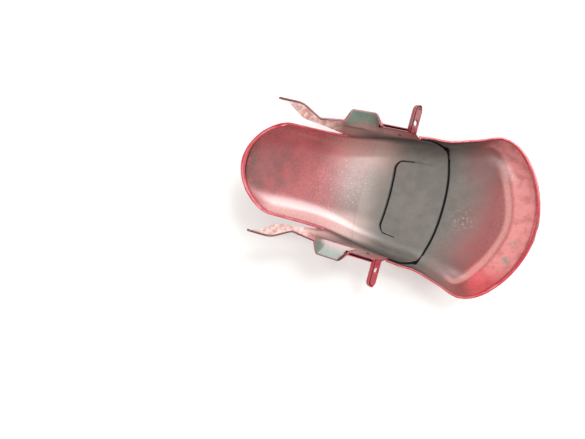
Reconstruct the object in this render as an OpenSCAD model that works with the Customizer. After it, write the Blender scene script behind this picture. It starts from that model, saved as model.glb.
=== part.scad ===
// Motorcycle front fender, lying on its back with the wheel side up.
// One injection moulding: a trough that narrows to a rounded nose and flares at the other end,
// with a raised blister, a stepped flare, a fork bracket wing on each side and a bored tab on each wing.
// X runs towards the flared end, Y across, Z up, and the moulding is symmetric about Y = 0.

/* [Trough] */
// Length over both ends
length = 402; // [380:1:430]
// Wall of the moulding
wall = 2.8; // [2.4:0.1:3.4]
// Wheel side radius along the centreline
arc_r = 330; // [300:5:380]
// Lowest point of the centreline, from mid length
low_x = 29; // [20:1:45]
// Rise of the trough floor from its centreline to its corner
crown = 5; // [2:0.5:8]
// Size of the rounded corner between floor and side wall, at the waist
corner_r = 13; // [9:1:16]
// Size of the same corner where the nose begins
nose_corner = 24; // [16:1:28]
// Size of the same corner in the flare
flare_corner = 22; // [16:1:28]

/* [Rim] */
// Half width inside the rim where the nose begins
nose_half = 57; // [53:1:61]
// Half width inside the rim where the arms begin
arm_half = 62.5; // [60:0.5:66]
// Half width inside the rim below the fork bulges
fork_half = 75; // [72:1:78]
// Half width inside the rim at the waist, beside the tabs
waist_half = 83; // [80:0.5:86]
// Half width inside the rim at the widest part of the flare
flare_half = 103.5; // [98:0.5:108]
// Depth of the side wall where the nose begins
nose_depth = 30; // [24:1:36]
// Depth of the side wall at the waist
waist_depth = 43; // [36:1:48]
// Depth of the side wall in the flare
flare_depth = 45; // [36:1:50]

/* [Ends] */
// Length of the rounded nose
nose_len = 51; // [40:1:60]
// Fullness of the nose outline, where 2 is an ellipse
nose_full = 1.85; // [1.6:0.05:2.4]
// Length of the rounded flare end
flare_len = 75; // [64:1:90]
// Fullness of the flare outline
flare_full = 1.8; // [1.6:0.05:2.3]
// Length over which the flare turns up at its end
turnup_len = 46; // [30:1:60]
// Height that the flare gains there
turnup_h = 13; // [6:0.5:18]
// Width of the stiffening bead along both ends
bead_w = 4; // [3:0.5:6]
// Height of that bead above the wheel side surface
bead_h = 1.6; // [1:0.1:2.2]

/* [Flare step] */
// Where the step crosses the centreline, from mid length
step_x = 82.5; // [76:0.5:88]
// How far the step line runs back along the side walls
step_back = 64; // [55:1:70]
// How sharply the step line bends at the corners
step_bend = 2.2; // [1.8:0.1:2.8]
// Depth of the step
step_h = 6.5; // [4:0.5:7]
// Run of the step face
step_run = 1.8; // [1.2:0.2:3]

/* [Blister] */
// Edge of the blister, from mid length
blister_x = 3; // [0:0.5:8]
// Length over which it fades out again
blister_len = 56; // [45:1:62]
// Half width of the blister
blister_half = 54; // [48:0.5:55]
// Depth of the blister
blister_h = 4; // [2.5:0.5:5]
// Corner radius of the blister
blister_r = 13; // [8:1:16]

/* [Wings] */
// Height of the wing edge above the ground, at the tab
wing_h = 75; // [70:1:78]
// Slope that the wing edge starts with at the tab
wing_slope = 0.05; // [0:0.01:0.1]
// How fast that slope grows towards the finger
wing_curl = 0.0019; // [0.0015:0.0001:0.0023]
// Thickness of the wing
wing_t = 2.8; // [2.4:0.1:3.4]
// First bend of the arm, from mid length
bend_x = -118; // [-124:1:-112]
// Width of the arm at its first bend
arm_w = 26; // [22:1:30]
// Outward joggle between the two bends of the arm
joggle = 11.5; // [6:0.5:14]
// Length of the arm between its two bends
joggle_len = 24; // [20:1:30]
// Length of the finger beyond the second bend
finger_len = 28; // [22:1:34]
// Width of the finger at its tip
finger_w = 6; // [4:1:10]
// Start of the fork bulge, from mid length
bulge_x = -87; // [-90:1:-84]
// Outward depth of the fork bulge
bulge_d = 15.5; // [10:0.5:18]
// Length of the flank of the bulge towards the nose
bulge_rise = 6.5; // [5:0.5:9]
// Length of the bulge at its crest
bulge_crest = 29; // [24:1:32]
// Length of its flank towards the tab
bulge_fall = 11.5; // [8:0.5:14]

/* [Tabs] */
// Distance between the two bolt holes, across the fork
hole_span = 198; // [190:1:206]
// Bolt hole
hole_d = 7.6; // [6:0.2:8.4]
// Where the bolt holes lie along the length, from mid length
hole_x = 3; // [-2:1:8]
// Height of the bolt holes above the ground
hole_z = 70; // [66:1:74]
// Width of the face of the tab, beside its ribs
tab_w = 11.5; // [11:0.5:14]
// Reach of the tab beyond the bolt hole
tab_reach = 23; // [16:1:26]
// Thickness of the tab
tab_t = 3; // [2.4:0.2:4]
// Tilt of the tab towards the flared end
tab_tilt = 36; // [28:1:42]
// Thickness of the ribs along the edge of the tab
rib_t = 1.4; // [1.2:0.1:2]
// Height of those ribs above the tab
rib_h = 2; // [1:0.5:4]
// Groove between the two ribs
groove = 1.6; // [1.4:0.2:2.4]
// Depth of the same groove where it doubles the wing edge, beside the tab
edge_groove = 5; // [3:0.5:7]
// Small locating hole in each wing
pin_d = 4; // [3:0.5:5]

/* [Hidden] */
painted = [0.72, 0.07, 0.10];

// The outside of each end, which leans away from the trough, lies at half the length.
x_nose = -length / 2 + wall * (length / 2 + low_x) / arc_r;
x_tail = length / 2 - (wall + step_h) *
  sin(asin((length / 2 - low_x) / arc_r) + atan(1.6 * turnup_h / turnup_len));
x_nose_root = x_nose + nose_len;
x_tail_root = x_tail - flare_len;
x_waist = 32;

// Height of the centreline's outer surface: the blister and the step edge both touch the ground.
function arc(x) = arc_r - sqrt(arc_r * arc_r - (x - low_x) * (x - low_x));
base_z = wall + max(blister_h - arc(blister_x - wall), step_h - arc(step_x - wall));

// A smooth line through named sizes, given at rising positions.
function part_of(x, a, b) = max(0, min(1, (x - a) / (b - a)));
function ease(a) = a * a * (3 - 2 * a);
function seg(x, xs, k = 0) = k >= len(xs) - 2 || x < xs[k + 1] ? k : seg(x, xs, k + 1);
function slope(xs, vs, k) =
  k == 0 ? (vs[1] - vs[0]) / (xs[1] - xs[0]) :
  k == len(xs) - 1 ? 0 : (vs[k + 1] - vs[k - 1]) / (xs[k + 1] - xs[k - 1]);
function smooth(x, xs, vs) =
  let (k = seg(x, xs), w = xs[k + 1] - xs[k], a = part_of(x, xs[k], xs[k + 1]), e = ease(a))
  vs[k] * (1 - e) + vs[k + 1] * e +
  w * a * (1 - a) * ((1 - a) * slope(xs, vs, k) - a * slope(xs, vs, k + 1));

// Sizes of the cross-section along X.
half_x = [x_nose_root, -80, -22, x_waist, 58, 92, x_tail_root + 4];
half_v = [nose_half, arm_half, fork_half, waist_half, waist_half + 1.5, flare_half * 0.91, flare_half];
nose_in = 20;
tail_in = 56;
function toward(x, a, b) = pow(part_of(x, a, b), 2);
function rim_half(x) = smooth(x, half_x, half_v) -
  nose_in * toward(x, x_nose_root, x_nose) - tail_in * toward(x, x_tail_root, x_tail);
depth_x = [x_nose_root, x_waist, x_tail_root];
function depth(x) = smooth(x, depth_x, [nose_depth, waist_depth, flare_depth]) *
  (1 - 0.45 * toward(x, x_nose_root, x_nose)) * (1 - 0.5 * toward(x, x_tail_root, x_tail));
function lean(x) = smooth(x, [x_nose_root, 0, 60, x_tail_root], [4, 12.5, 12, 10]);
function corner(x) =
  smooth(x, [x_nose_root, 0, 60, x_tail_root], [nose_corner, corner_r, corner_r, flare_corner]);
function turnup(x) = turnup_h * pow(part_of(x, x_tail - turnup_len, x_tail), 1.6);
function floor_z(x) = base_z + arc(x) + turnup(x);

// One half of the cross-section, from the centreline (0) over the corner to the rim (1).
t_floor = 0.55;
t_wall = 0.75;
function half_section(x, t) =
  let (
    yr = rim_half(x),
    yk = yr - lean(x),
    zf = floor_z(x),
    r = corner(x),
    ya = yk - r,
    za = zf + crown * ya * ya / (yk * yk),
    zk = za + 2 * crown * ya / (yk * yk) * r,
    zr = zf + depth(x),
    wl = norm([yr - yk, zr - zk]),
    rw = min(r, wl * 0.7),
    yw = yk + (yr - yk) * rw / wl,
    zw = zk + (zr - zk) * rw / wl
  )
  t < t_floor ? let (a = t / t_floor) [ya * a, zf + (za - zf) * a * a] :
  t < t_wall ? let (b = (t - t_floor) / (t_wall - t_floor))
    (1 - b) * (1 - b) * [ya, za] + 2 * b * (1 - b) * [yk, zk] + b * b * [yw, zw] :
  let (c = (t - t_wall) / (1 - t_wall)) [yw, zw] * (1 - c) + [yr, zr] * c;

function base(x, t) = let (s = half_section(x, abs(t))) [x, sign(t) * s[0], s[1]];
function unit(v) = v / norm(v);
function outward(x, t) =
  let (e = 0.004, q = abs(t) < e ? e : t)
  unit(cross(base(x, q + e) - base(x, q - e), base(x + 0.5, q) - base(x - 0.5, q)));

// Lines that the stations follow: nose outline, blister edge, step line and flare outline.
function round_end(t, n) = pow(max(0, 1 - pow(abs(t), n)), 1 / n);
function end_at(t, root, tip, b, n, a = 0, z = 1, k = 0) =
  let (h = (a + z) / 2, x = root + (tip - root) * h)
  k == 22 ? x :
  half_section(x, abs(t))[0] < b * round_end(h, n) ? end_at(t, root, tip, b, n, h, z, k + 1)
                                                   : end_at(t, root, tip, b, n, a, h, k + 1);
function nose_line(t) = end_at(t, x_nose_root, x_nose, nose_half, nose_full);
function tail_line(t) = end_at(t, x_tail_root, x_tail, rim_half(x_tail_root), flare_full);
function step_line(t) = step_x - step_back * (1 - round_end(t, step_bend));
function blister_line(t) =
  let (y = abs(base(blister_x, t)[1]), d = max(0, min(blister_r, y - blister_half + blister_r)))
  blister_x + (blister_r - sqrt(blister_r * blister_r - d * d)) -
  (blister_r + 32) * ease(part_of(abs(t), 0.56, 1));

// How far the surface is pushed out by the step and the blister; g moves the ramps for the outside.
function pushed(x, t, g) =
  step_h * (1 - 0.4 * pow(abs(t), 8)) * part_of(x, step_line(t) - g, step_line(t) - g + step_run) +
  blister_h * (1 - part_of(abs(t), t_side, t_side + 0.035)) *
  (1 - part_of(x, blister_x, blister_x + blister_len)) *
  part_of(x, blister_line(t) - g, blister_line(t) - g + edge_run);
edge_run = 1.6;
t_side = min(t_floor * blister_half / half_section(blister_x, t_floor)[0], t_floor) - 0.035;

function between(a, b, n) = [for (k = [0:n - 1]) a + (b - a) * k / n];
halves = concat(between(0, t_side, 8), [t_side, t_side + 0.035], between(t_floor, t_wall, 5),
                between(t_wall, 1, 4), [1]);
across = concat([for (k = [len(halves) - 1:-1:1]) -halves[k]], halves);

// Stations along the moulding for one line across.
n_nose = 15;
n_mid = 9;
n_tail = 12;
function stations(t, g) =
  let (n = nose_line(t) + bead_w, b = blister_line(t) - g, s = step_line(t) - g, e = tail_line(t) - bead_w)
  concat([n - bead_w, n], between(n + 1, b, n_nose), [b, b + edge_run],
         between(b + 6, s, n_mid), [s, s + step_run],
         between(s + step_run + 5, e - 1, n_tail), [e - 1, e, e + bead_w]);
columns = [for (t = across) stations(t, 0)];
columns_out = [for (t = across) stations(t, wall)];
rows = len(across);
last = len(columns[0]) - 1;
function bead(i, t) = i <= 1 || i >= last - 1 ? bead_h * (1 - part_of(abs(t), 0.75, 1)) : 0;
inner = [for (i = [0:last]) [for (j = [0:rows - 1])
  let (x = columns[j][i], t = across[j], p = base(x, t))
  p + outward(x, t) * (pushed(x, t, 0) - bead(i, t))]];
outer = [for (i = [0:last]) [for (j = [0:rows - 1])
  let (x = columns_out[j][i], t = across[j], p = base(x, t))
  p + outward(x, t) * (pushed(x, t, wall) + wall)]];

// The wing: an arm that runs free of the trough, then a plate that rises from the rim.
wing_from = 11;
wing_to = 2 + n_nose + 2 + n_mid - 1;
tab_left = tab_w / 2 + 2 * rib_t + groove;
tab_a = hole_x - tab_left * cos(tab_tilt);
tab_b = hole_x + tab_w / 2 * cos(tab_tilt);
function edge_z(x) =
  let (d = tab_a - x) d < 0 ? wing_h + d * tan(tab_tilt) : wing_h + wing_slope * d + wing_curl * d * d;
function edge_y(x) = smooth(x, [bend_x, bulge_x, -40, tab_b],
  [arm_half + 7, fork_half + 1.5, waist_half - 1.5, waist_half + 1]);
bulge_end = bulge_x + bulge_rise + bulge_crest + bulge_fall;
function bulge(x) = bulge_d * ease(part_of(x, bulge_x - 1.5, bulge_x + bulge_rise + 1)) *
  ease(part_of(x, bulge_end + 1.5, bulge_end - bulge_fall - 2));

// Positions along the wing's edge, one for each station that the wing stands on.
function knots(c) = lookup(c, [
  [0, bulge_x - 8], [2, bulge_x - 1.5], [5, bulge_x + bulge_rise + 1],
  [8, bulge_end - bulge_fall - 2], [12, bulge_end + 1.5], [wing_to - wing_from - 1, tab_a],
  [wing_to - wing_from, tab_b]]);
function rise_of(a, b, f) = [for (r = [0:4]) a + (b - a) * r / 4 + [0, f * r / 4, 0]];
function plate_column(c) =
  let (
    foot = inner[wing_from + c][rows - 1],
    x = knots(c),
    edge = [x, edge_y(x), edge_z(x)],
    a = 0.8 - 0.5 * part_of(c, 0, 12),
    crease = foot + (edge - foot) * a
  )
  [foot, for (r = [0:3]) crease + (edge - crease) * r / 3 + [0, bulge(x) * r / 3, 0]];
bend_2 = bend_x - joggle_len;
tip_x = bend_2 - finger_len;
arm = [
  rise_of([tip_x - 1, arm_half + 7 + joggle - 1.5, edge_z(bend_2) + 8 - finger_w],
          [tip_x, arm_half + 7 + joggle - 2, edge_z(bend_2) + 8], 0),
  rise_of([bend_2 - arm_w * 0.64, arm_half + 6 + joggle, edge_z(bend_2) - arm_w * 0.64],
          [bend_2, arm_half + 7 + joggle, edge_z(bend_2)], 0),
  rise_of([bend_x - arm_w * 0.78, arm_half + 5.5, edge_z(bend_x) - arm_w * 0.62],
          [bend_x, arm_half + 7, edge_z(bend_x)], 0),
  rise_of([bend_x + 1, arm_half + 4.4, edge_z(bend_x) - arm_w * 0.92],
          [bend_x + 8.5, edge_y(bend_x + 8.5), edge_z(bend_x + 8.5)], 0),
  rise_of([bend_x + 16, arm_half + 3.2, edge_z(bend_x) - arm_w * 1.12],
          [bend_x + 16, edge_y(bend_x + 16), edge_z(bend_x + 16)], 0)];
wing_in = concat(arm, [for (c = [0:wing_to - wing_from]) plate_column(c)]);
n_arm = len(arm);
n_wing = len(wing_in);
function step_in(g, c, r) =
  let (c0 = max(c - 1, 0), c1 = min(c + 1, n_wing - 1), r0 = max(r - 1, 0), r1 = min(r + 1, 4))
  unit(cross(g[c][r1] - g[c][r0], g[c1][r] - g[c0][r]));
wing_out = [for (c = [0:n_wing - 1]) [for (r = [0:4]) wing_in[c][r] + step_in(wing_in, c, r) * wing_t]];

function mirrored(p) = [p[0], -p[1], p[2]];
function flat(g) = [for (r = g) each r];
function quad(a, b, c, d, s) = s > 0 ? [[a, b, c], [a, c, d]] : [[a, c, b], [a, d, c]];
shell_n = (last + 1) * rows;
wing_n = n_wing * 5;

// Point numbers: trough inside and outside, then each wing inside and outside.
function in_at(i, j) = i * rows + j;
function out_at(i, j) = shell_n + i * rows + j;
function wing_at(s, side, c, r) =
  r == 0 && c >= n_arm
    ? (side == 0 ? in_at(wing_from + c - n_arm, s > 0 ? rows - 1 : 0)
                 : out_at(wing_from + c - n_arm, s > 0 ? rows - 1 : 0))
    : 2 * shell_n + (s > 0 ? 0 : 2 * wing_n) + side * wing_n + c * 5 + r;
function wing_faces(s) = concat(
  [for (c = [0:n_wing - 2], r = [0:3]) each concat(
    quad(wing_at(s, 0, c, r), wing_at(s, 0, c, r + 1), wing_at(s, 0, c + 1, r + 1), wing_at(s, 0, c + 1, r), s),
    quad(wing_at(s, 1, c, r), wing_at(s, 1, c + 1, r), wing_at(s, 1, c + 1, r + 1), wing_at(s, 1, c, r + 1), s))],
  [for (r = [0:3]) each concat(
    quad(wing_at(s, 1, 0, r), wing_at(s, 1, 0, r + 1), wing_at(s, 0, 0, r + 1), wing_at(s, 0, 0, r), s),
    quad(wing_at(s, 1, n_wing - 1, r), wing_at(s, 0, n_wing - 1, r),
         wing_at(s, 0, n_wing - 1, r + 1), wing_at(s, 1, n_wing - 1, r + 1), s))],
  [for (c = [0:n_wing - 2]) each
    quad(wing_at(s, 0, c, 4), wing_at(s, 1, c, 4), wing_at(s, 1, c + 1, 4), wing_at(s, 0, c + 1, 4), s)],
  [for (c = [0:n_arm - 1]) each
    quad(wing_at(s, 0, c, 0), wing_at(s, 0, c + 1, 0), wing_at(s, 1, c + 1, 0), wing_at(s, 1, c, 0), s)]);
function rim_faces(s) =
  let (j = s > 0 ? rows - 1 : 0)
  [for (i = [0:last - 1]) if (i < wing_from || i >= wing_to)
    each quad(in_at(i, j), out_at(i, j), out_at(i + 1, j), in_at(i + 1, j), s)];
shell_faces = concat(
  [for (i = [0:last - 1], j = [0:rows - 2]) each concat(
    quad(in_at(i, j), in_at(i, j + 1), in_at(i + 1, j + 1), in_at(i + 1, j), 1),
    quad(out_at(i, j), out_at(i + 1, j), out_at(i + 1, j + 1), out_at(i, j + 1), 1))],
  [for (j = [0:rows - 2]) each concat(
    quad(in_at(0, j), out_at(0, j), out_at(0, j + 1), in_at(0, j + 1), 1),
    quad(in_at(last, j), in_at(last, j + 1), out_at(last, j + 1), out_at(last, j), 1))]);

module shell_with_wings() {
  polyhedron(
    concat(flat(inner), flat(outer), flat(wing_in), flat(wing_out),
           [for (p = flat(wing_in)) mirrored(p)], [for (p = flat(wing_out)) mirrored(p)]),
    concat(shell_faces, rim_faces(1), rim_faces(-1), wing_faces(1), wing_faces(-1)));
}

// The tab lies in its own plane: X across it, Y outwards, the bolt along Z.
module in_tab_plane() {
  translate([hole_x, hole_span / 2, hole_z]) rotate([0, tab_tilt, 0]) children();
}
root_y = waist_half + 2.3 - hole_span / 2;
tab_r = (tab_left + tab_w / 2) / 2;
rib_end = tab_reach - tab_r;
module tab_outline() {
  translate([tab_w / 2 - tab_r, rib_end]) circle(r = tab_r, $fn = 64);
  translate([-tab_left, root_y]) square([2 * tab_r, rib_end - root_y]);
}
module tab() {
  in_tab_plane() difference() {
    union() {
      translate([0, 0, -tab_t]) linear_extrude(tab_t) tab_outline();
      for (x = [tab_w / 2 + rib_t, tab_left])
        translate([-x, root_y, -tab_t]) cube([rib_t, rib_end - root_y, tab_t + rib_h]);
    }
    translate([-tab_w / 2 - rib_t - groove, root_y + 3, -tab_t / 2])
      cube([groove, rib_end - root_y - 3, tab_t]);
  }
}
// Beside the tab the wing edge is doubled: an outer wall stands off it, with the same groove between.
module edge_wall() {
  x_a = bulge_end - 3;
  x_b = tab_a + 1;
  a = [x_a, edge_y(x_a) + wing_t, edge_z(x_a) - 0.5];
  b = [x_b, edge_y(x_b) + wing_t, edge_z(x_b)];
  d = b - a;
  translate(a) rotate([0, 90 - atan2(d[2], norm([d[0], d[1]])), atan2(d[1], d[0])])
    linear_extrude(norm(d)) {
      translate([0, groove]) square([edge_groove + rib_t, rib_t]);
      translate([edge_groove, -wing_t * 0.7]) square([rib_t, groove + rib_t + wing_t * 0.7]);
    }
}
module bores() {
  in_tab_plane() translate([0, 0, -10]) cylinder(d = hole_d, h = 20, $fn = 64);
  translate([-12, hole_span / 2 - 30, 62]) rotate([-90, 0, 0]) cylinder(d = pin_d, h = 22, $fn = 32);
}

// The origin is under the middle of the moulding, on the ground.
xs_out = [for (p = flat(outer)) p[0]];
middle = (min(xs_out) + max(xs_out)) / 2;
ground = min([for (p = flat(outer)) p[2]]);

module fender() {
  color(painted) translate([-middle, 0, -ground]) difference() {
    union() {
      shell_with_wings();
      for (s = [0, 1]) mirror([0, s, 0]) {
        tab();
        edge_wall();
      }
    }
    for (s = [0, 1]) mirror([0, s, 0]) bores();
  }
}

fender();
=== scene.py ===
import math

import bmesh
import bpy
from mathutils import Matrix, Vector
from mathutils.kdtree import KDTree


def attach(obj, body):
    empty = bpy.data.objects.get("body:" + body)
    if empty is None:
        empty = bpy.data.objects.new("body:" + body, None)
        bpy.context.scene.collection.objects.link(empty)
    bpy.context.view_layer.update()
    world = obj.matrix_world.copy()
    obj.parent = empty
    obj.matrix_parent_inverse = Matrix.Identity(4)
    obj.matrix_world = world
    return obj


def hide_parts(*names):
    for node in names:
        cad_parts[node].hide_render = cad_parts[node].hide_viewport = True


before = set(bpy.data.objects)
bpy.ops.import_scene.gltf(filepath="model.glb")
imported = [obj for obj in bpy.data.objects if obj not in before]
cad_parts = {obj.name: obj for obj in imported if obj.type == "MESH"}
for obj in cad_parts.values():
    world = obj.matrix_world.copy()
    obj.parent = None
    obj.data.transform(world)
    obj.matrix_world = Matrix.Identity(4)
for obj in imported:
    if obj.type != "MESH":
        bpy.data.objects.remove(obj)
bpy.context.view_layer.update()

# Camera.
# A hand-held phone above the narrow end, looking down into the wheel side of the fender that lies on
# its back. Its picture is turned a little about the line of sight, and it looks a bit past the part.
MM = 0.001
# Width of the picture, focal length, and how far the picture's middle lies past the part.
picture_px, focal_px, past_px = 585, 473, 46
eye = Vector((-120.1, 0.0, 690.0)) * MM
tip_back = math.atan(past_px / focal_px)
# In the picture the fender runs 0.970 to the right and 0.244 down.
turn = math.atan2(0.244, 0.970)
sight = Vector((0, math.sin(tip_back), math.cos(tip_back)))
level = sight.cross(Vector((1, 0, 0)))
camera_x = math.cos(turn) * Vector((1, 0, 0)) + math.sin(turn) * level
camera_y = -math.sin(turn) * Vector((1, 0, 0)) + math.cos(turn) * level
lens_data = bpy.data.cameras.new("camera")
lens_data.sensor_width = 36
lens_data.lens = 36 * focal_px / picture_px
lens_data.clip_start = 0.01
camera = bpy.data.objects.new("camera", lens_data)
camera.matrix_world = (Matrix.Translation(eye)
                       @ Matrix((camera_x, camera_y, sight)).transposed().to_4x4())
bpy.context.scene.collection.objects.link(camera)
bpy.context.scene.camera = camera

# Fender moulding: trough.
# One injection moulding in ABS, 2.8 mm thick, that covers the top of the front wheel. It narrows to a
# rounded nose and flares at the other end, with a raised blister and a step before the flare.
# Sizes are in mm and x runs from mid length to the flare. t runs across, from -1 at one rim to 1.
length, wall = 402.0, 2.8
# The curve round the wheel, where it lies lowest, and how much the floor rises towards the sides.
arc_r, low_x, crown = 330.0, 29.0, 5.0
# Half width at the rim, depth of the side walls and how far they lean out, from nose to flare.
nose_half, arm_half, fork_half, waist_half, flare_half = 57.0, 62.5, 75.0, 83.0, 103.5
nose_depth, waist_depth, flare_depth = 30.0, 43.0, 45.0
nose_lean, mid_lean, step_lean, flare_lean = 4.0, 12.5, 12.0, 10.0
# Radius of the corner between floor and side wall, and how much of the wall it may take.
nose_corner, corner_r, flare_corner, corner_share = 24.0, 13.0, 22.0, 0.7
# Each round end: its length, how full it is, how far the rim draws in and what the walls lose.
nose_len, nose_full, nose_draw, nose_loss = 51.0, 1.85, 20, 0.45
flare_len, flare_full, flare_draw, flare_loss = 75.0, 1.8, 56, 0.5
# The turned-up end of the flare, and the bead moulded along both ends.
turnup_len, turnup_h, turnup_bend = 46.0, 13.0, 1.6
bead_w, bead_h = 4.0, 1.6
# The step: where it crosses the middle, how far it runs back at the sides, its depth and its run.
step_x, step_back, step_bend, step_h, step_run, step_fade = 82.5, 64.0, 2.2, 6.5, 1.8, 0.4
# The blister: its place and size, then the run, sag and side ends of the edge that faces the nose.
blister_x, blister_len, blister_half, blister_h, blister_r = 3.0, 56.0, 54.0, 4.0, 13.0
edge_run, blister_sag, blister_back, side_ramp = 1.6, 2.5, 32, 0.035
# The floor ends at t_floor, and the side wall starts at t_wall.
t_floor, t_wall = 0.55, 0.75
# The part's own origin, under the middle of its length and on the ground.
origin = Vector((-0.769602, 0, -0.226273))


def part_of(x, a, b):
    return max(0.0, min(1.0, (x - a) / (b - a)))


def ease(a):
    return a * a * (3 - 2 * a)


def smooth(x, xs, vs):
    """Value at x on a smooth curve through the values vs at xs."""
    k = 0
    while k < len(xs) - 2 and x >= xs[k + 1]:
        k += 1

    def slope(m):
        if m == 0:
            return (vs[1] - vs[0]) / (xs[1] - xs[0])
        if m == len(xs) - 1:
            return 0.0
        return (vs[m + 1] - vs[m - 1]) / (xs[m + 1] - xs[m - 1])
    w = xs[k + 1] - xs[k]
    a = part_of(x, xs[k], xs[k + 1])
    e = ease(a)
    return (vs[k] * (1 - e) + vs[k + 1] * e
            + w * a * (1 - a) * ((1 - a) * slope(k) - a * slope(k + 1)))


def arc(x):
    return arc_r - math.sqrt(arc_r * arc_r - (x - low_x) ** 2)


x_nose = -length / 2 + wall * (length / 2 + low_x) / arc_r
x_tail = length / 2 - (wall + step_h) * math.sin(
    math.asin((length / 2 - low_x) / arc_r) + math.atan(turnup_bend * turnup_h / turnup_len))
x_nose_root = x_nose + nose_len
x_tail_root = x_tail - flare_len
x_waist = 32.0
base_z = wall + max(blister_h - arc(blister_x - wall), step_h - arc(step_x - wall))
half_x = [x_nose_root, -80, -22, x_waist, 58, 92, x_tail_root + 4]
half_v = [nose_half, arm_half, fork_half, waist_half, waist_half + 1.5, flare_half * 0.91,
          flare_half]
side_x = [x_nose_root, 0, 60, x_tail_root]


def toward(x, a, b):
    return part_of(x, a, b) ** 2


def rim_half(x):
    return (smooth(x, half_x, half_v) - nose_draw * toward(x, x_nose_root, x_nose)
            - flare_draw * toward(x, x_tail_root, x_tail))


def depth(x):
    return (smooth(x, [x_nose_root, x_waist, x_tail_root], [nose_depth, waist_depth, flare_depth])
            * (1 - nose_loss * toward(x, x_nose_root, x_nose))
            * (1 - flare_loss * toward(x, x_tail_root, x_tail)))


def half_section(x, t):
    """Half of the cross section at x: a crowned floor, a round corner and a leaning side wall."""
    yr = rim_half(x)
    yk = yr - smooth(x, side_x, [nose_lean, mid_lean, step_lean, flare_lean])
    zf = base_z + arc(x) + turnup_h * part_of(x, x_tail - turnup_len, x_tail) ** turnup_bend
    r = smooth(x, side_x, [nose_corner, corner_r, corner_r, flare_corner])
    ya = yk - r
    za = zf + crown * ya * ya / (yk * yk)
    zk = za + 2 * crown * ya / (yk * yk) * r
    zr = zf + depth(x)
    wl = math.hypot(yr - yk, zr - zk)
    rw = min(r, wl * corner_share)
    yw, zw = yk + (yr - yk) * rw / wl, zk + (zr - zk) * rw / wl
    if t < t_floor:
        a = t / t_floor
        return ya * a, zf + (za - zf) * a * a
    if t < t_wall:
        b = (t - t_floor) / (t_wall - t_floor)
        k0, k1, k2 = (1 - b) ** 2, 2 * b * (1 - b), b * b
        return k0 * ya + k1 * yk + k2 * yw, k0 * za + k1 * zk + k2 * zw
    c = (t - t_wall) / (1 - t_wall)
    return yw + (yr - yw) * c, zw + (zr - zw) * c


def base(x, t):
    y, z = half_section(x, abs(t))
    return Vector((x, math.copysign(y, t), z))


def outward(x, t):
    e = 0.004
    q = e if abs(t) < e else t
    along = base(x + 0.5, q) - base(x - 0.5, q)
    return (base(x, q + e) - base(x, q - e)).cross(along).normalized()


def round_end(t, n):
    return max(0.0, 1 - abs(t) ** n) ** (1 / n)


def end_at(t, root, tip, b, n):
    """Where the line t meets the round end between root and tip, found by halving."""
    low, high = 0.0, 1.0
    for _ in range(24):
        mid = (low + high) / 2
        if half_section(root + (tip - root) * mid, abs(t))[0] < b * round_end(mid, n):
            low = mid
        else:
            high = mid
    return root + (tip - root) * (low + high) / 2


def step_line(t):
    return step_x - step_back * (1 - round_end(t, step_bend))


def blister_line(t):
    y = half_section(blister_x, abs(t))[0]
    d = max(0.0, min(blister_r, y - blister_half + blister_r))
    return (blister_x + blister_r - math.sqrt(blister_r * blister_r - d * d)
            + blister_sag * max(0.0, 1 - (y / (blister_half - blister_r)) ** 2)
            - (blister_r + blister_back) * ease(part_of(abs(t), t_floor + 0.01, 1)))


t_side = min(t_floor * blister_half / half_section(blister_x, t_floor)[0], t_floor) - side_ramp
n_nose, n_mid, n_tail = 15, 9, 12


def between(a, b, n):
    return [a + (b - a) * k / n for k in range(n)]


def refine(values, parts):
    out = []
    for a, b, n in zip(values, values[1:], parts):
        out += between(a, b, n)
    return out + [values[-1]]


halves = (between(0, t_side, 8) + [t_side] + between(t_floor, t_wall, 5)
          + between(t_wall, 1, 4) + [1])
half_lines = refine(halves, [3] * 8 + [4] + [3] * 5 + [3] * 4)
lines = [-t for t in reversed(half_lines[1:])] + half_lines
splits = [5, 2] + [4] * n_nose + [6, 4] + [4] * n_mid + [6, 4] + [4] * n_tail + [2, 5]
starts = [sum(splits[:k]) for k in range(len(splits) + 1)]


def stations(nose, tail, t, g):
    """Places along the line t that follow the nose, the blister, the step and the flare."""
    n, b, s, e = nose + bead_w, blister_line(t) - g, step_line(t) - g, tail - bead_w
    return ([n - bead_w, n] + between(n + 1, b, n_nose)
            + [b, b + edge_run] + between(b + 6, s, n_mid)
            + [s, s + step_run] + between(s + step_run + 5, e - 1, n_tail)
            + [e - 1, e, e + bead_w])


def surface(x, t, nose, tail, g):
    """A point of the wheel side, or of the outside when g is the wall's thickness."""
    b, s = blister_line(t) - g, step_line(t) - g
    step = step_h * (1 - step_fade * abs(t) ** 8) * ease(part_of(x, s, s + step_run))
    blister = (blister_h * (1 - ease(part_of(abs(t), t_side, t_side + side_ramp)))
               * (1 - part_of(x, blister_x, blister_x + blister_len))
               * ease(part_of(x, b, b + edge_run)))
    end = min(x - nose, tail - x)
    lip = 0 if g else (bead_h * (1 - part_of(abs(t), t_wall, 1))
                       * (1 - ease(part_of(end, bead_w - 0.6, bead_w + 0.8))))
    return base(x, t) + outward(x, t) * (step + blister - lip + g)


# Each point carries how much of these lies on it. The outside is clean red paint.
mark_names = ("crevice", "red", "dirt_and_shade", "green", "pale")
clean_paint = (0.0, 1.0, 0.0, 0.0, 0.0)
points, twin, faces, tone = [], {}, [], []


def add_pair(inside, outside, crevice=0.0, red=0.0, dirt_and_shade=0.0, green=0.0, pale=0.0):
    twin[len(points)] = len(points) + 1
    points.extend([inside, outside])
    tone.extend([(crevice, red, dirt_and_shade, green, pale), clean_paint])
    return len(points) - 2
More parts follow.
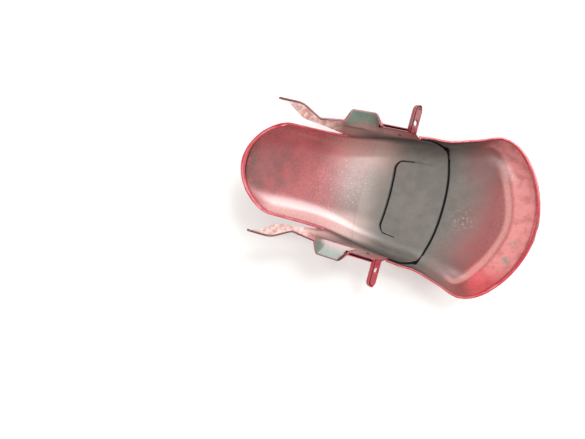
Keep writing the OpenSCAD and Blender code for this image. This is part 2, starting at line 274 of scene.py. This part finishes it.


# How dark the painted shade, with dirt, lies behind the bead at each end, and how far it follows the
# blister's sides.
nose_lip_dark, tail_lip_dark = 0.9, 0.42
hook_len, hook_end, pocket_end = 6, 20, 46
trough = []
for t in lines:
    off = abs(t)
    nose = end_at(t, x_nose_root, x_nose, nose_half, nose_full)
    tail = end_at(t, x_tail_root, x_tail, rim_half(x_tail_root), flare_full)
    b, s = blister_line(t), step_line(t)
    from_side = abs(off - t_side - 0.013)
    bend = part_of(off, 0.56, 0.86)
    column = []
    for x, x_out in zip(refine(stations(nose, tail, t, 0), splits),
                        refine(stations(nose, tail, t, wall), splits)):
        end = min(x - nose, tail - x)
        # Painted shade, with dirt, fills the foot of the step, thinner on the side walls.
        dark_step = s - 0.9 + 1.3 * bend <= x <= s + step_run + 1.5 - 2.0 * bend
        # It fills the blister's edge and hooks round its two corners.
        dark_blister = ((1 - part_of(off, t_side + 0.005, t_side + 0.04))
                        if b - 1.9 <= x <= b + edge_run + 1.4 else 0.0)
        dark_hook = (b - 1 < x < b + hook_end
                     and from_side < 0.011 - 0.006 * part_of(x, b + hook_len, b + hook_end))
        # It lies along the bead behind each end.
        dark_lip = ((1 - part_of(off, 0.8, 1)) * part_of(end, bead_w - 1.2, bead_w)
                    * (1 - part_of(end, bead_w + 0.4, bead_w + 1.8))
                    * (nose_lip_dark if x < 0 else tail_lip_dark))
        p = surface(x, t, nose, tail, 0)
        drift_left = (1 - 0.76 * ease(part_of(x, -104, -30)) - 0.12 * part_of(x, -33, -30)
                      - 0.12 * part_of(x, -30, 6))
        drift_right = part_of(x + 0.3 * max(0, -p.y - 15) + 0.25 * max(0, p.y - 30), 88, 176)
        # Dirt and painted shade darken the side walls along the middle.
        dirt_and_shade = part_of(off, 0.8, 0.96) * part_of(x, -120, -40) * (1 - part_of(x, 70, 120))
        # A faint painted shade runs on along the blister's sides.
        if b + hook_end < x < b + pocket_end and from_side < 0.01:
            dirt_and_shade = 0.2
        column.append(add_pair(p, surface(x_out, t, nose, tail, wall),
                               max(float(dark_step), dark_blister, float(dark_hook), dark_lip),
                               max(drift_left, drift_right), dirt_and_shade))
    trough.append(column)
for left, right in zip(trough, trough[1:]):
    for i in range(len(left) - 1):
        faces.append((left[i], left[i + 1], right[i + 1], right[i]))
trough_n = len(points)

# Fender moulding: wings.
# The same wall carried on above the rim on each side: an arm that runs free of the trough with two
# bends, a bulge that clears the fork leg, and a plate that ends at the bolt tab.
# The free edge: its height at the tab, and how it climbs from there towards the arm.
wing_h, wing_slope, wing_curl = 75.0, 0.05, 0.0019
# The arm: its bend, width, the jog outwards and the finger at its tip. Then the bulge.
bend_x, arm_w, joggle, joggle_len, finger_len, finger_w = -118.0, 26.0, 11.5, 24.0, 28.0, 6.0
bulge_x, bulge_d, bulge_rise, bulge_crest, bulge_fall = -87.0, 15.5, 6.5, 29.0, 11.5
# The bolt holes, the tabs round them and the ribs along each tab's edge.
hole_span, hole_d, hole_x, hole_z = 198.0, 7.6, 3.0, 70.0
tab_w, tab_reach, tab_t, tab_tilt = 11.5, 23.0, 3.0, math.radians(36)
rib_t, rib_h, groove = 1.4, 2.0, 1.6
# The lengthwise divisions of the trough from which the wing rises.
wing_from, wing_to = 11, 2 + n_nose + 2 + n_mid - 1
tab_left = tab_w / 2 + 2 * rib_t + groove
tab_a = hole_x - tab_left * math.cos(tab_tilt)
tab_b = hole_x + tab_w / 2 * math.cos(tab_tilt)
bulge_end = bulge_x + bulge_rise + bulge_crest + bulge_fall
bend_2 = bend_x - joggle_len
tip_x = bend_2 - finger_len
arm_y = arm_half + 7
crease_at, crease_drop = 0.8, 0.5
wing_rows, crease_row, arm_steps, fillet_n, fillet_bend = 16, 4, 8, 4, 2.2


def edge_z(x):
    d = tab_a - x
    rise = d * math.tan(tab_tilt) if d < 0 else wing_slope * d + wing_curl * d * d
    return wing_h + rise


def edge_y(x):
    return smooth(x, [bend_x, bulge_x, -40, tab_b],
                  [arm_y, fork_half + 1.5, waist_half - 1.5, waist_half + 1])


def bulge(x):
    return (bulge_d * ease(part_of(x, bulge_x - 1.5, bulge_x + bulge_rise + 1))
            * (1 - ease(part_of(x, bulge_end - bulge_fall - 2, bulge_end + 1.5))))


# Columns of the plate where its edge changes: the arm's root, the four bends of the bulge, the tab.
knots = ((0, bulge_x - 8), (2, bulge_x - 1.5), (5, bulge_x + bulge_rise + 1),
         (8, bulge_end - bulge_fall - 2), (12, bulge_end + 1.5), (wing_to - wing_from - 1, tab_a),
         (wing_to - wing_from, tab_b))
plate = []
for i in range(starts[wing_from], starts[wing_to] + 1):
    k = max(m for m in range(len(splits)) if starts[m] <= i)
    c = k - wing_from + (i - starts[k]) / splits[k]
    x = next(xa + (xb - xa) * part_of(c, ca, cb)
             for (ca, xa), (cb, xb) in zip(knots, knots[1:]) if c <= cb)
    foot = points[trough[-1][i]]
    edge = Vector((x, edge_y(x), edge_z(x)))
    crease = foot.lerp(edge, crease_at - crease_drop * part_of(c, 0, 12))
    column = []
    for r in range(wing_rows + 1):
        f = 4 * r / wing_rows
        p = foot.lerp(crease, f) if f < 1 else crease.lerp(edge, (f - 1) / 3)
        column.append(p + Vector((0, bulge(x) * max(0, f - 1) / 3, 0)))
    plate.append(column)
# Behind the tab the plate runs down to the rim in a small fillet.
last = starts[wing_to]
tab_edge = plate[-1][-1]
for k in range(1, fillet_n + 1):
    foot = points[trough[-1][last + k]]
    run = foot.x - points[trough[-1][last]].x
    top = foot.lerp(tab_edge + Vector((run, 0, 0)), (1 - k / (fillet_n + 1)) ** fillet_bend)
    plate.append([foot.lerp(top, r / wing_rows) for r in range(wing_rows + 1)])
# The arm's lower and upper corner at its tip, at its two bends and on to the plate.
arm_ends = [
    ((tip_x - 1, arm_y + joggle - 1.5, edge_z(bend_2) + 8 - finger_w),
     (tip_x, arm_y + joggle - 2, edge_z(bend_2) + 8)),
    ((bend_2 - arm_w * 0.64, arm_half + 6 + joggle, edge_z(bend_2) - arm_w * 0.64),
     (bend_2, arm_y + joggle, edge_z(bend_2))),
    ((bend_x - arm_w * 0.78, arm_half + 5.5, edge_z(bend_x) - arm_w * 0.62),
     (bend_x, arm_y, edge_z(bend_x))),
    ((bend_x + 1, arm_half + 4.4, edge_z(bend_x) - arm_w * 0.92),
     (bend_x + 8.5, edge_y(bend_x + 8.5), edge_z(bend_x + 8.5))),
    ((bend_x + 16, arm_half + 3.2, edge_z(bend_x) - arm_w * 1.12),
     (bend_x + 16, edge_y(bend_x + 16), edge_z(bend_x + 16)))]
arm_keys = [[Vector(a).lerp(Vector(b), r / wing_rows) for r in range(wing_rows + 1)]
            for a, b in arm_ends] + [plate[0]]
arm = []
for left, right in zip(arm_keys, arm_keys[1:]):
    arm += [[a.lerp(b, k / arm_steps) for a, b in zip(left, right)] for k in range(arm_steps)]
# Averaging each column with its neighbours rounds the bends.
for _ in range(3):
    arm = [arm[0]] + [[(a + 2 * b + c) / 4 for a, b, c in zip(p, q, r)]
                      for p, q, r in zip(arm, arm[1:], arm[2:] + [plate[0]])]
wing = arm + plate


def wing_normal(c, r):
    c0, c1 = max(c - 1, 0), min(c + 1, len(wing) - 1)
    r0, r1 = max(r - 1, 0), min(r + 1, wing_rows)
    return (wing[c][r1] - wing[c][r0]).cross(wing[c1][r] - wing[c0][r]).normalized()


for side in (1, -1):
    ids = []
    for c, column in enumerate(wing):
        row = []
        for r, p in enumerate(column):
            if r == 0 and c >= len(arm):
                row.append(trough[-1 if side > 0 else 0][starts[wing_from] + c - len(arm)])
                continue
            q = p + wing_normal(c, r) * wall
            up = r / wing_rows
            pocket = bulge(p.x) / bulge_d * part_of(up, 0.35, 0.8)
            red = max(1 - part_of(p.x, -120, -60), 0.42) * (1 - pocket)
            # Painted shade, with dirt, along the crease of the plate and at the wing's foot.
            crease_shade = 0.75 if r == crease_row and -112 < p.x < -58 else 0.0
            foot_shade = part_of(p.x, -105, -50) * (1 - part_of(up, 0.02, 0.3))
            row.append(add_pair(Vector((p.x, p.y * side, p.z)), Vector((q.x, q.y * side, q.z)),
                                0.0, red, max(crease_shade, foot_shade), pocket,
                                1 - part_of(p.x, -108, -86)))
        ids.append(row)
    for left, right in zip(ids, ids[1:]):
        for r in range(wing_rows):
            loop = (left[r], right[r], right[r + 1], left[r + 1])
            faces.append(loop if side < 0 else loop[::-1])

# The wall is closed along its free edge with a moulded round, and the paint follows it.
round_out, round_steps = 0.9, 5
edge_of = {}
for loop in faces:
    for a, b in zip(loop, loop[1:] + loop[:1]):
        edge_of[(a, b)] = loop
open_edges = [(a, b) for a, b in edge_of if (b, a) not in edge_of]
away = {}
for a, b in open_edges:
    p = [points[v] for v in edge_of[(a, b)]]
    n = (p[2] - p[0]).cross(p[3] - p[1])
    out = (points[b] - points[a]).cross(n).normalized()
    for v in (a, b):
        away[v] = away.get(v, Vector()) + out
rings = {}
for v, out in away.items():
    a, b = points[v], points[twin[v]]
    mid, half = (a + b) / 2, (a - b) / 2
    out = (out - half * (out.dot(half) / half.length_squared)).normalized() * round_out
    ring = [v]
    for k in range(1, round_steps):
        turn_by = math.pi * k / round_steps
        ring.append(len(points))
        points.append(mid + half * math.cos(turn_by) + out * math.sin(turn_by))
        # Round edges of the wings carry the full dark mark, which darkens their lacquer; those of the
        # trough do not.
        tone.append((0.0, 1.0, 0.0 if v < trough_n else 1.0, 0.0, 0.0))
    rings[v] = ring + [twin[v]]
skin = [tuple(twin[v] for v in reversed(loop)) for loop in faces]
rim = []
for a, b in open_edges:
    for k in range(round_steps):
        rim.append((rings[b][k], rings[a][k], rings[a][k + 1], rings[b][k + 1]))

# Faces of the wheel side are bare plastic or, where painted shade and dirt fill them, black. All
# others are red.
sheet = bpy.data.meshes.new("fender_moulding")
sheet.from_pydata([(p - origin) * MM for p in points], [], faces + skin + rim)
inside_finish = [2 if sum(tone[v][0] for v in loop) > 2 else 0 for loop in faces]
sheet.polygons.foreach_set("material_index", inside_finish + [1] * (len(skin) + len(rim)))
sheet.polygons.foreach_set("use_smooth", [True] * len(sheet.polygons))
edge_tree = KDTree(len(rings))
for k, v in enumerate(rings):
    edge_tree.insert(points[v], k)
edge_tree.balance()
marks = {name: [values[k] for values in tone] for k, name in enumerate(mark_names)}
marks["rim_mm"] = [edge_tree.find(p)[2] for p in points]
for name, values in marks.items():
    sheet.attributes.new(name, "FLOAT", "POINT").data.foreach_set("value", values)
moulding = bpy.data.objects.new("fender_moulding", sheet)
bpy.context.scene.collection.objects.link(moulding)


def srgb(code):
    def linear(v):
        return v / 12.92 if v <= 0.04045 else ((v + 0.055) / 1.055) ** 2.4
    return tuple(linear(int(code[k:k + 2], 16) / 255) for k in (1, 3, 5)) + (1.0,)


def add(kind, *inputs, out=0, named=(), **settings):
    """Adds a node to tree. Its inputs take values or links, in order or by name; None leaves one."""
    node = tree.nodes.new("ShaderNode" + kind)
    for name, value in settings.items():
        setattr(node, name, value)
    for key, value in [*enumerate(inputs), *dict(named).items()]:
        if isinstance(value, bpy.types.NodeSocket):
            tree.links.new(value, node.inputs[key])
        elif value is not None:
            node.inputs[key].default_value = value
    return node.outputs[out]


def where(*limits):
    """How much of a finish lies at a point: all its limits multiplied. A limit is a number, a
    socket, or a socket with the two values between which it eases from 0 to 1, or as it says."""
    amount = None
    for limit in limits:
        if isinstance(limit, tuple):
            limit = add("MapRange", *limit, interpolation_type="SMOOTHSTEP")
        amount = limit if amount is None else add("Math", amount, limit, operation="MULTIPLY")
    return amount


# ABS, injection moulded in grey-brown and left bare inside, where paint drifted in from both ends.
# It gives a satin, slightly dusty surface that turns from bare plastic to red and catches soft light.
# Its colour also holds painted light: highlights on the side walls, the arms and the flare's crease,
# and painted shade in the crevices and along the walls.
bare = bpy.data.materials.new("oversprayed_abs")
bare.use_nodes = True
tree = bare.node_tree
shader = tree.nodes["Principled BSDF"]
place = add("TexCoord", out="Object")
x, y = (add("SeparateXYZ", place, out=axis) for axis in ("X", "Y"))
off_centre = add("Math", y, operation="ABSOLUTE")
crevice, red, dirt_and_shade, green, pale, rim_mm = (
    add("Attribute", out="Fac", attribute_name=name) for name in (*mark_names, "rim_mm"))
# Each pattern's size in mm. The real grain, specks and dust are under 1 mm across and are drawn
# coarser, since a pixel of the picture covers about 1.5 mm.
pattern = {}
for name, size, detail, roughness, stretch in (
        ("drift", 50, 3, 0.5, (1, 1, 1)), ("cloud", 16, 3, 0.5, (1, 1, 1)),
        ("satin", 3.5, 4, 0.5, (1, 1, 1)), ("pits", 2.0, 2, 0.5, (1, 1, 1)),
        ("mottling", 24, 5, 0.5, (1, 1, 1)), ("lip_blotch", 11, 3, 0.5, (1, 1, 1)),
        ("wear", 6, 3, 0.5, (1, 1, 1)), ("streaks", 5, 3, 0.6, (1, 1, 0.15)),
        ("specks", 1.7, 1, 0.5, (1, 1, 1)), ("dust", 2.2, 1, 0.5, (1, 1, 1)),
        ("scratch_across", 4, 2, 0.7, (0.4, 2.2, 1)), ("scratch_along", 3.6, 2, 0.7, (2.2, 0.5, 1)),
        ("grain", 1.5, 3, 0.5, (1, 1, 1))):
    pattern[name] = add("TexNoise", add("Mapping", place, None, None, stretch), None,
                        1000 / size, detail, roughness)
# Distance from the middle of each local patch, in metres.
level_place = add("CombineXYZ", x, y)
worn_a, worn_b, speck_area, dust_area, scratch_area = (
    add("VectorMath", level_place, (x_mm * MM, y_mm * MM, 0), out="Value", operation="DISTANCE")
    for x_mm, y_mm in ((182, -22), (178, -46), (-58, 4), (-66, -2), (116, -8)))

plastic = add("MixRGB", where((pattern["cloud"], 0.35, 0.65)), srgb("#534e48"), srgb("#5d5751"))
plastic = add("MixRGB", where((pattern["pits"], 0.58, 0.7), 0.5), plastic, srgb("#3f3833"))

# The drifted paint, mottled in the nose and paler, redder, duller or worn through in the flare.
flare = where((x, 0.105, 0.125))
worn = add("Math", where((worn_a, 0.007, 0.002)), where((worn_b, 0.007, 0.002)),
           operation="MAXIMUM")
spray = add("MixRGB", where((pattern["drift"], 0.4, 0.6)), srgb("#843a3c"), srgb("#964648"))
for code, limits in (
        ("#54332d", ((pattern["mottling"], 0.4, 0.62), (x, -0.105, -0.16),
                     (off_centre, 0.045, 0.02), 0.8)),
        # Pinker, blotched paint on the flare's turned-up end, made paler as painted light where it
        # faces the lamps.
        ("#c97f7d", (flare, (rim_mm, 36, 29), (rim_mm, 1.5, 4),
                     (pattern["lip_blotch"], 0.3, 0.6, 0.55, 1.0))),
        ("#c4474e", (flare, (y, -0.055, -0.085, 0.0, 0.75))),
        ("#6f4440", ((x, 0.085, 0.1), (x, 0.15, 0.13), (y, -0.045, -0.075), 0.8)),
        ("#6c433f", ((x, 0.08, 0.11), (rim_mm, 34, 50), 0.5)),
        ("#8b8378", (worn, (pattern["wear"], 0.42, 0.56)))):
    spray = add("MixRGB", where(*limits), spray, srgb(code))

# Paint over plastic, then what lies on both, from the flare's crease band, a painted highlight, to the
# packed dirt and painted shade.
uneven = where(add("Math", pattern["drift"], 0.5, operation="SUBTRACT"), (red, 0.02, 0.3, 0.0, 0.5))
amount = add("Math", red, uneven, operation="ADD")
colour = add("MixRGB", where((amount, 0.0, 0.9)), plastic, spray)
crease_side = add("Math", where((y, 0.05, 0.03)), where((x, 0.135, 0.155)), operation="MAXIMUM")
tide_x = 0.0335
from_tide = add("Math", add("Math", x, tide_x, operation="ADD"), operation="ABSOLUTE")
scratch = add("Math", where((pattern["scratch_across"], 0.6, 0.66)),
              where((pattern["scratch_along"], 0.6, 0.66)), operation="MAXIMUM")
for code, limits in (
        # Painted highlight along the crease where the flare turns up.
        ("#c9928a", (flare, (rim_mm, 33, 37), (rim_mm, 45, 40), crease_side, 0.55)),
        # Thin pink haze up to the tide line across the middle, and fainter beyond it.
        ("#a9857c", ((x, -0.095, -0.05), (x, 0.001 - tide_x, -tide_x),
                     (y, -0.03, 0.03, 0.1, 0.26))),
        # Painted light: the upper inner side wall made lighter.
        ("#c89891", ((y, 0.015, 0.05), (y, 0.078, 0.068), (x, 0.03, -0.03), (x, -0.12, -0.06),
                     0.38)),
        # Painted highlight: a pale sheen along the lower inner side wall, with some pale overspray.
        ("#e4c3be", ((y, -0.03, -0.05), (x, 0.01, -0.05), (x, -0.185, -0.145), (rim_mm, 2, 8),
                     (y, -0.076, -0.066), 0.5)),
        ("#b0998f", ((x, 0.012, -0.03), (x, -0.001 - tide_x, 0.001 - tide_x), 0.25)),
        # Full red that wraps in from the rim.
        ("#a83440", ((rim_mm, 8.0, 0.5), (red, 0.3, 0.7), 0.8)),
        # Dirt and painted shade: darker along the side walls, the wings' crease and foot, and beside
        # the blister.
        ("#2e2725", (dirt_and_shade, 0.9)),
        ("#55645a", (green, 0.9)),
        # Pale streaks near the arms' tips, which also stand as painted highlight there.
        ("#ecd2c8", (pale, (pattern["streaks"], 0.42, 0.62, 0.45, 1.0))),
        ("#4a3330", ((pattern["specks"], 0.62, 0.66), (speck_area, 0.044, 0.010), 0.9)),
        ("#cbb4aa", ((pattern["dust"], 0.655, 0.69), (dust_area, 0.062, 0.020), 0.6)),
        ("#5e4c48", ((from_tide, 0.0012, 0.0003), 0.3)),
        ("#c2ae98", (scratch, (scratch_area, 0.026, 0.002), 0.38)),
        # Painted shade, with packed dirt, turns the step, the blister's edge and the beads black.
        ("#0b0a09", ((crevice, 0.25, 0.75),))):
    colour = add("MixRGB", where(*limits), colour, srgb(code))
tree.links.new(colour, shader.inputs["Base Color"])

# Paint is glossier than plastic, the haze has a faint gloss of its own, and dirt and painted shade
# take it away.
rough = add("Math", where((amount, 0.2, 0.9, 0.56, 0.28)), where((x, -0.04, 0.03, 0.3, 0.56)),
            operation="MINIMUM")
rough = add("Math", rough, where(dirt_and_shade, 0.3), operation="ADD")
rough = add("Math", rough, where((pattern["satin"], 0.3, 0.7, -0.04, 0.06)), operation="ADD")
tree.links.new(rough, shader.inputs["Roughness"])
dulled = add("Math", dirt_and_shade, green, operation="MAXIMUM")
tree.links.new(where((x, 0.012, -0.06, 0.0, 0.8), add("Math", 1.0, dulled, operation="SUBTRACT")),
               shader.inputs["Coat Weight"])
shader.inputs["Coat Roughness"].default_value = 0.26
shader.inputs["IOR"].default_value = 1.58
grain = {"Height": pattern["grain"], "Strength": 0.12, "Distance": 0.2 * MM}
tree.links.new(add("Bump", named=grain), shader.inputs["Normal"])

# Red paint under clear lacquer, sprayed on the outside and over the rim: deep colour, sharp gloss.
lacquer = bpy.data.materials.new("gloss_red_lacquer")
lacquer.use_nodes = True
tree = lacquer.node_tree
shader = tree.nodes["Principled BSDF"]
shader.inputs["Roughness"].default_value = 0.35
shader.inputs["Coat Weight"].default_value = 0.8
shader.inputs["Coat Roughness"].default_value = 0.06
place = add("TexCoord", out="Object")
level_place = add("CombineXYZ", *(add("SeparateXYZ", place, out=axis) for axis in ("X", "Y")))
fading = add("TexNoise", place, None, 1000 / 9, 3, 0.5)
painted = add("MixRGB", where((fading, 0.45, 0.75)), srgb("#a3222f"), srgb("#b8424e"))
# The lacquer is darker where the mark of dirt and painted shade lies: on the wings' free edges and at
# the rim's inner corner.
edge_darkening = add("Attribute", out="Fac", attribute_name="dirt_and_shade")
painted = add("MixRGB", where(edge_darkening, 0.9), painted, srgb("#43181d"))
# Chips on the rim of the flare, down to the bare plastic.
for x_mm, y_mm, chip_r in ((186, 49, 3.0), (195, 20, 2.4), (197, 11, 4.5), (198, -9, 3.0)):
    from_chip = add("VectorMath", level_place, (x_mm * MM, y_mm * MM, 0), out="Value",
                    operation="DISTANCE")
    painted = add("MixRGB", where((from_chip, chip_r * MM, chip_r * 0.6 * MM)), painted,
                  srgb("#66685c"))
tree.links.new(painted, shader.inputs["Base Color"])

# Painted shade of the deep step, the blister's edge and the bead at the nose, with road dirt packed
# in: dull black, no shine.
shade_and_dirt = bpy.data.materials.new("crevice_shade_and_dirt")
shade_and_dirt.use_nodes = True
shader = shade_and_dirt.node_tree.nodes["Principled BSDF"]
shader.inputs["Base Color"].default_value = srgb("#0c0b0a")
shader.inputs["Roughness"].default_value = 0.95
shader.inputs["IOR"].default_value = 1.2

for finish in (bare, lacquer, shade_and_dirt):
    sheet.materials.append(finish)


def from_bmesh(name, mesh):
    bmesh.ops.recalc_face_normals(mesh, faces=mesh.faces)
    data = bpy.data.meshes.new(name)
    mesh.to_mesh(data)
    mesh.free()
    made = bpy.data.objects.new(name, data)
    bpy.context.scene.collection.objects.link(made)
    return made


def drill(target, r, depth, place):
    """Cuts a round hole through target, about the z axis of place."""
    mesh = bmesh.new()
    bmesh.ops.create_cone(mesh, cap_ends=True, segments=48, radius1=r, radius2=r, depth=depth)
    mesh.transform(place)
    cutter = from_bmesh("drill", mesh)
    cut = target.modifiers.new("hole", "BOOLEAN")
    cut.object = cutter
    cut.solver = "EXACT"
    bpy.context.view_layer.update()
    graph = bpy.context.evaluated_depsgraph_get()
    target.data = bpy.data.meshes.new_from_object(
        target.evaluated_get(graph), preserve_all_data_layers=True, depsgraph=graph)
    target.modifiers.clear()
    bpy.data.objects.remove(cutter)


# A locating hole goes through each wing just in front of the tab. One drill cuts both.
pin_d, pin_x, pin_z, through = 4.0, -12.0, 62.0, 240
drill(moulding, pin_d / 2, through,
      Matrix.Scale(MM, 4) @ Matrix.Translation(Vector((pin_x, 0, pin_z)) - origin)
      @ Matrix.Rotation(math.pi / 2, 4, "X"))
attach(moulding, "root")
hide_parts("fender")

# Fork tabs.
# On each wing a flat tab, moulded in one with it, takes the bolt to the fork leg. Two thin ribs with a
# groove between them stiffen the edge on the nose side and run round its tip.
root_y = waist_half + 2.3 - hole_span / 2
tab_r = (tab_left + tab_w / 2) / 2
rib_end = tab_reach - tab_r
mid_x = tab_w / 2 - tab_r
rt, hr, second = rib_t, rib_h, rib_t + groove
ribs_end = second + rib_t
# Across the edge: distance in from the edge, height, and height that a rib adds.
outline = [
    (tab_r, -tab_t, 0), (0.7, -tab_t, 0), (0.2, 0.2 - tab_t, 0), (0, 0.7 - tab_t, 0),
    (0, -0.5, hr), (0.12, -0.12, hr), (0.45, 0, hr), (rt - 0.45, 0, hr), (rt - 0.12, -0.12, hr),
    (rt, -0.5, hr), (rt + 0.02, -0.6, -0.9), (second - 0.02, -0.6, -0.9), (second, -0.5, hr),
    (second + 0.12, -0.12, hr), (second + 0.45, 0, hr), (ribs_end - 0.45, 0, hr),
    (ribs_end - 0.12, -0.12, hr), (ribs_end, -0.5, hr), (ribs_end + 0.1, 0, 0.3),
    (ribs_end + 0.6, 0, 0), (tab_r, 0, 0)]
# Round the edge: place, direction to the middle, and how far the ribs stand up there.
side_n, tip_n, fade_from, fade_to, dark_groove_n = 12, 36, 20, 30, 22
path = [(mid_x - tab_r, root_y + (rib_end - root_y) * k / side_n, 1, 0, 1.0) for k in range(side_n)]
for k in range(tip_n + 1):
    a = math.pi * (1 - k / tip_n)
    path.append((mid_x + tab_r * math.cos(a), rib_end + tab_r * math.sin(a), -math.cos(a),
                 -math.sin(a), 1 - ease(part_of(k, fade_from, fade_to))))
path += [(mid_x + tab_r, root_y + (rib_end - root_y) * k / side_n, -1, 0, 0.0)
         for k in range(side_n - 1, -1, -1)]

# Paint sprayed thinly over the tabs: the red turns dusty pink on the faces and stays deep at the root.
thin_paint = bpy.data.materials.new("thin_red_paint")
thin_paint.use_nodes = True
tree = thin_paint.node_tree
shader = tree.nodes["Principled BSDF"]
shader.inputs["Roughness"].default_value = 0.4
place = add("TexCoord", out="Object")
y = add("SeparateXYZ", place, out="Y")
off_centre = add("Math", y, operation="ABSOLUTE")
patches = add("TexNoise", place, None, 1000 / 7, 3, 0.5)
full_red = add("Math", where((patches, 0.52, 0.62, 0.0, 0.7)), where((y, 0.02, -0.02, 0.0, 0.75)),
               operation="MAXIMUM")
tab_colour = add("MixRGB", where((off_centre, 0.090, 0.096)), srgb("#64161e"), srgb("#7d4a4b"))
tab_colour = add("MixRGB", full_red, tab_colour, srgb("#9c2733"))
tree.links.new(tab_colour, shader.inputs["Base Color"])

for name, side in (("left", 1), ("right", -1)):
    to_side = (Matrix.Diagonal((MM, MM * side, MM, 1)) @ Matrix.Translation(-origin)
               @ Matrix.Translation((hole_x, hole_span / 2, hole_z))
               @ Matrix.Rotation(tab_tilt, 4, "Y"))
    mesh = bmesh.new()
    loops = []
    for px, py, ix, iy, raised in path:
        loops.append([mesh.verts.new((px + ix * d, py + iy * d, z + h * raised))
                      for d, z, h in outline])
    for k, (p, q) in enumerate(zip(loops, loops[1:])):
        for a in range(len(outline) - 1):
            made = mesh.faces.new((p[a], q[a], q[a + 1], p[a + 1]))
            # The groove on the nose side and round the start of the tip is black: painted shade in the
            # groove, with dirt.
            in_groove = outline[a][2] < 0 or outline[a + 1][2] < 0
            made.material_index = 1 if k < dark_groove_n and in_groove else 0
    bmesh.ops.remove_doubles(mesh, verts=mesh.verts, dist=0.001)
    bmesh.ops.holes_fill(mesh, edges=mesh.edges)
    mesh.transform(to_side)
    for f in mesh.faces:
        f.smooth = True
    tab = from_bmesh("tab_" + name, mesh)
    tab.data.materials.append(thin_paint)
    tab.data.materials.append(shade_and_dirt)
    drill(tab, hole_d / 2, 20, to_side)
    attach(tab, "root")
    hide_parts("fender")

# Doubled wing edges.
# Between the bulge and the tab the edge of each wing is doubled by an outer wall with the same groove
# as on the tab, moulded in one with the wing and painted with it.
edge_groove = 5.0
x_a, x_b = bulge_end - 3, tab_a + 1
end_a = Vector((x_a, edge_y(x_a) + wall, edge_z(x_a) - 0.5))
end_b = Vector((x_b, edge_y(x_b) + wall, edge_z(x_b)))
low, far, rooted = edge_groove + rib_t, groove + rib_t, -wall * 0.7
# Depth below the edge, and distance out from the wing. The last two sides line the groove.
section = [(0, groove), (0, far), (low, far), (low, rooted), (edge_groove, rooted),
           (edge_groove, groove)]
for name, side in (("left", 1), ("right", -1)):
    mesh = bmesh.new()
    ends = [[mesh.verts.new((p.x, (p.y + out) * side, p.z - down)) for down, out in section]
            for p in (end_a, end_b)]
    for k in range(len(section)):
        m = (k + 1) % len(section)
        made = mesh.faces.new((ends[0][k], ends[0][m], ends[1][m], ends[1][k]))
        # The faces lining the groove take the black finish: painted shade in the groove, with dirt.
        made.material_index = 1 if k > 3 else 0
    mesh.faces.new(ends[0])
    mesh.faces.new(ends[1])
    mesh.transform(Matrix.Diagonal((MM, MM, MM, 1)) @ Matrix.Translation(-origin))
    edge_piece = from_bmesh("wing_edge_" + name, mesh)
    edge_piece.data.materials.append(thin_paint)
    edge_piece.data.materials.append(shade_and_dirt)
    soften = edge_piece.modifiers.new("moulded_round", "BEVEL")
    soften.width = 0.35 * MM
    soften.segments = 3
    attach(edge_piece, "root")
    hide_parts("fender")

# Floor and light.
# A plain white table in a bright room. One large window lights it softly, and smaller ones put the
# sheen into the satin inside.
reach = 3
floor_data = bpy.data.meshes.new("floor")
floor_data.from_pydata([(-reach, -reach, 0), (reach, -reach, 0), (reach, reach, 0),
                        (-reach, reach, 0)], [], [(0, 1, 2, 3)])
floor = bpy.data.objects.new("floor", floor_data)
bpy.context.scene.collection.objects.link(floor)
# Matt white board. To the camera and in reflections it is a little darker, so that shadows show on it.
table = bpy.data.materials.new("matt_white_board")
table.use_nodes = True
tree = table.node_tree
tree.nodes.remove(tree.nodes["Principled BSDF"])
seen = add("Math", add("LightPath", out="Is Camera Ray"), add("LightPath", out="Is Glossy Ray"),
           operation="MAXIMUM")
white = add("MixRGB", seen, srgb("#e8e6e2"), srgb("#dfdfdd"))
tree.links.new(add("BsdfDiffuse", white), tree.nodes["Material Output"].inputs["Surface"])
floor_data.materials.append(table)
world = bpy.data.worlds.new("room")
bpy.context.scene.world = world
world.use_nodes = True
tree = world.node_tree
backdrop = tree.nodes["Background"]
backdrop.inputs["Color"].default_value = srgb("#fffcf8")
room_light, seen_light = 0.33, 0.95
tree.links.new(where((add("LightPath", out="Is Camera Ray"), 0.0, 1.0, room_light, seen_light)),
               backdrop.inputs["Strength"])
for name, spot, size, power in (("window", (0.80, 0.82, 0.62), (1.2, 0.9), 22),
                                ("high_window", (0.05, 0.52, 1.10), (0.3, 0.3), 5),
                                ("left_window", (-0.60, -0.62, 0.95), (0.9, 0.7), 14),
                                ("side_window", (-0.12, 0.66, 0.78), (0.25, 0.25), 2.0),
                                ("roof_light", (0.62, -0.06, 1.02), (0.24, 0.24), 1.9),
                                ("far_lamp", (0.99, 0.0, 0.46), (0.06, 0.03), 0.15)):
    lamp = bpy.data.lights.new(name, "AREA")
    lamp.shape = "RECTANGLE"
    lamp.size, lamp.size_y = size
    lamp.energy = power
    light = bpy.data.objects.new(name, lamp)
    light.location = spot
    toward_part = Vector((0, 0, 0.03)) - Vector(spot)
    light.rotation_euler = toward_part.to_track_quat("-Z", "Y").to_euler()
    bpy.context.scene.collection.objects.link(light)

bpy.context.scene.view_settings.view_transform = "Standard"
bpy.context.view_layer.update()
